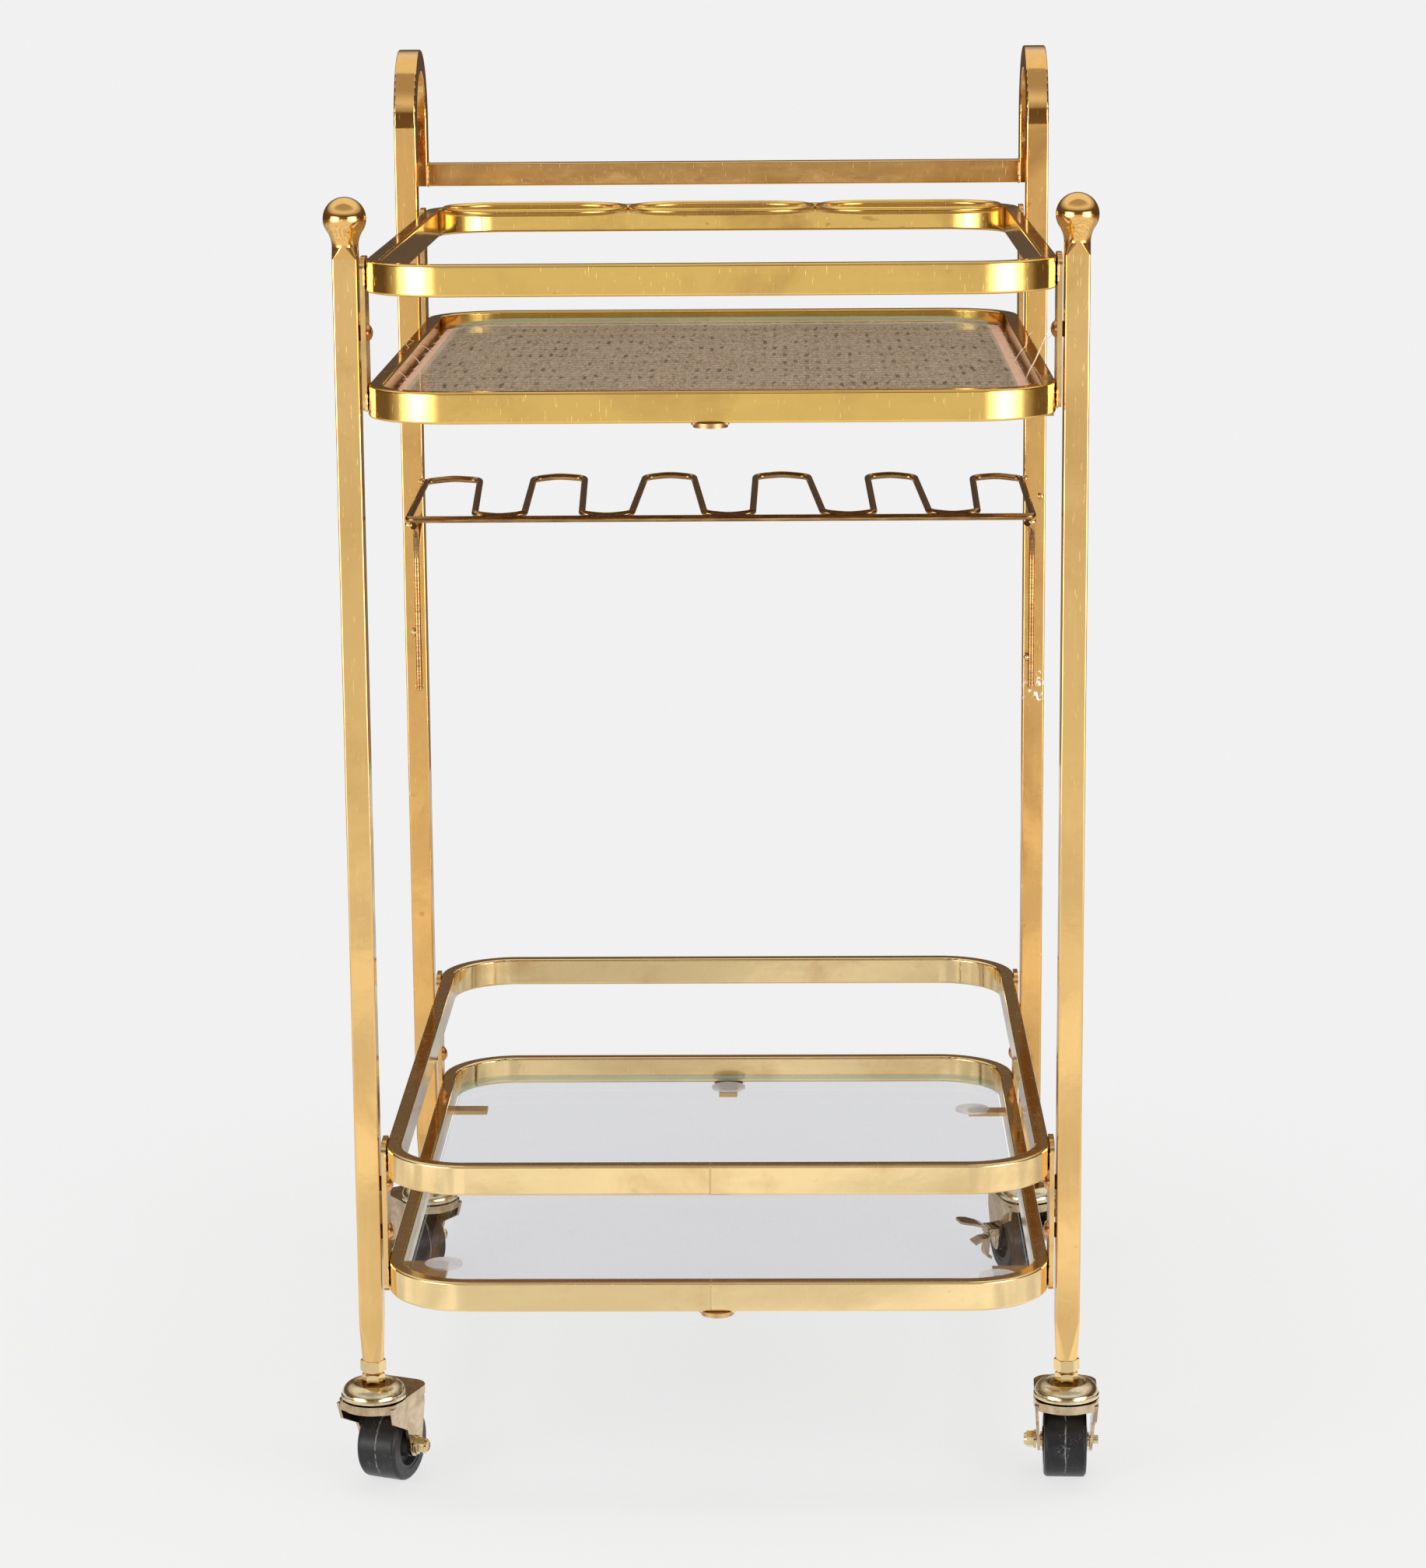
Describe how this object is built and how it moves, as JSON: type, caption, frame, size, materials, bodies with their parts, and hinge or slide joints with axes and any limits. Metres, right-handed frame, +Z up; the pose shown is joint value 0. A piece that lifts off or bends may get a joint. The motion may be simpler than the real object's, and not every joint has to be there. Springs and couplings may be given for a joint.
{
  "type": "two-tier bar cart",
  "caption": "Two-tier brass-finish bar cart on swivel casters, with glass shelves, raised galleries, bottle rings, a stemware rack and a looped push handle.",
  "frame": {"origin": "on the floor, below the middle of the overall bounding box", "axes": "+Z up, +Y towards the push handle (the rear), +X to the right seen from the front"},
  "size_m": [0.525, 0.6079, 0.937],
  "materials": {
    "leg_gold": "polished brass plating on steel tube, lightly scratched",
    "ball_gold": "polished brass plating",
    "handle_gold": "brass plating, slightly darker and handled",
    "upper_rail_gold": "polished brass plating on rectangular tube",
    "lower_rail_gold": "polished pale brass plating on rectangular tube",
    "ring_gold": "brass-plated wire",
    "plate_gold": "brass-plated flat plate",
    "screw_copper": "coppery plated dome screws",
    "washer_dark": "dark washers",
    "tab_gold": "brass-plated sheet tabs",
    "clear_pad": "clear soft pads",
    "woven_cane": "fine woven cane over board, frayed at the edge",
    "clear_glass": "clear float glass with a green edge",
    "rack_bronze": "brass-plated wire with a dark bronze cast",
    "caster_zinc": "yellow zinc-plated pressed steel, slightly iridescent",
    "axle_steel": "zinc-plated steel fasteners",
    "tyre_black": "black rubber tread, scuffed",
    "hub_plastic": "black moulded plastic"
  },
  "bodies": {
    "frame": {"front_leg_left": "leg_gold", "front_leg_right": "leg_gold", "rear_leg_left": "leg_gold", "rear_leg_right": "leg_gold", "ball_finial_left": "ball_gold", "ball_finial_right": "ball_gold", "handle_bar": "handle_gold", "top_rail": "upper_rail_gold", "upper_tray_rail": "upper_rail_gold", "gallery_rail": "lower_rail_gold", "lower_tray_rail": "lower_rail_gold", "bottle_ring_left": "ring_gold", "bottle_ring_centre": "ring_gold", "bottle_ring_right": "ring_gold", "upper_plates": "plate_gold", "lower_plates": "plate_gold", "rail_screws": "screw_copper", "leg_spacers": "washer_dark", "upper_tray_tabs": "tab_gold", "lower_tray_tabs": "tab_gold", "glass_pads": "clear_pad", "woven_panel": "woven_cane", "upper_glass": "clear_glass", "lower_glass": "clear_glass", "rack_wave_wire": "rack_bronze", "rack_front_bar": "rack_bronze", "rack_stay_left": "rack_bronze", "rack_stay_right": "rack_bronze", "caster_stems": "caster_zinc", "jam_nuts": "caster_zinc", "raceway_caps": "caster_zinc"},
    "swivel_fl": {"fork_fl": "caster_zinc", "axle_bolt_fl": "axle_steel", "axle_nut_fl": "axle_steel", "axle_sleeve_fl": "axle_steel"},
    "wheel_fl": {"tyre_fl": "tyre_black", "wheel_hub_fl": "hub_plastic"},
    "swivel_fr": {"fork_fr": "caster_zinc", "axle_bolt_fr": "axle_steel", "axle_nut_fr": "axle_steel", "axle_sleeve_fr": "axle_steel"},
    "wheel_fr": {"tyre_fr": "tyre_black", "wheel_hub_fr": "hub_plastic"},
    "swivel_rl": {"fork_rl": "caster_zinc", "axle_bolt_rl": "axle_steel", "axle_nut_rl": "axle_steel", "axle_sleeve_rl": "axle_steel"},
    "wheel_rl": {"tyre_rl": "tyre_black", "wheel_hub_rl": "hub_plastic"},
    "swivel_rr": {"fork_rr": "caster_zinc", "axle_bolt_rr": "axle_steel", "axle_nut_rr": "axle_steel", "axle_sleeve_rr": "axle_steel", "brake_pin": "axle_steel"},
    "wheel_rr": {"tyre_rr": "tyre_black", "wheel_hub_rr": "hub_plastic"},
    "brake": {"brake_pedal": "caster_zinc"}
  },
  "joints": [
    {"name": "swivel_fl", "type": "hinge", "parent": "frame", "child": "swivel_fl", "pos_m": [-0.22383, -0.24204, 0.07], "axis": [0, 0, 1], "continuous": true},
    {"name": "roll_fl", "type": "hinge", "parent": "swivel_fl", "child": "wheel_fl", "pos_m": [-0.21484, -0.21979, 0.025], "axis": [0.9272, -0.3746, 0], "continuous": true},
    {"name": "swivel_fr", "type": "hinge", "parent": "frame", "child": "swivel_fr", "pos_m": [0.23817, -0.24204, 0.07], "axis": [0, 0, 1], "continuous": true},
    {"name": "roll_fr", "type": "hinge", "parent": "swivel_fr", "child": "wheel_fr", "pos_m": [0.239, -0.21805, 0.025], "axis": [0.9994, -0.0349, 0], "continuous": true},
    {"name": "swivel_rl", "type": "hinge", "parent": "frame", "child": "swivel_rl", "pos_m": [-0.22383, 0.20196, 0.07], "axis": [0, 0, 1], "continuous": true},
    {"name": "roll_rl", "type": "hinge", "parent": "swivel_rl", "child": "wheel_rl", "pos_m": [-0.2376, 0.22162, 0.025], "axis": [0.8192, 0.5736, 0], "continuous": true},
    {"name": "swivel_rr", "type": "hinge", "parent": "frame", "child": "swivel_rr", "pos_m": [0.23817, 0.20196, 0.07], "axis": [0, 0, 1], "continuous": true},
    {"name": "roll_rr", "type": "hinge", "parent": "swivel_rr", "child": "wheel_rr", "pos_m": [0.23075, 0.22479, 0.025], "axis": [0.9511, 0.309, 0], "continuous": true},
    {"name": "brake_press", "type": "hinge", "parent": "swivel_rr", "child": "brake", "pos_m": [0.2087, 0.21531, 0.034], "axis": [0.309, -0.9511, 0], "range_deg": [0, 20]}
  ]
}
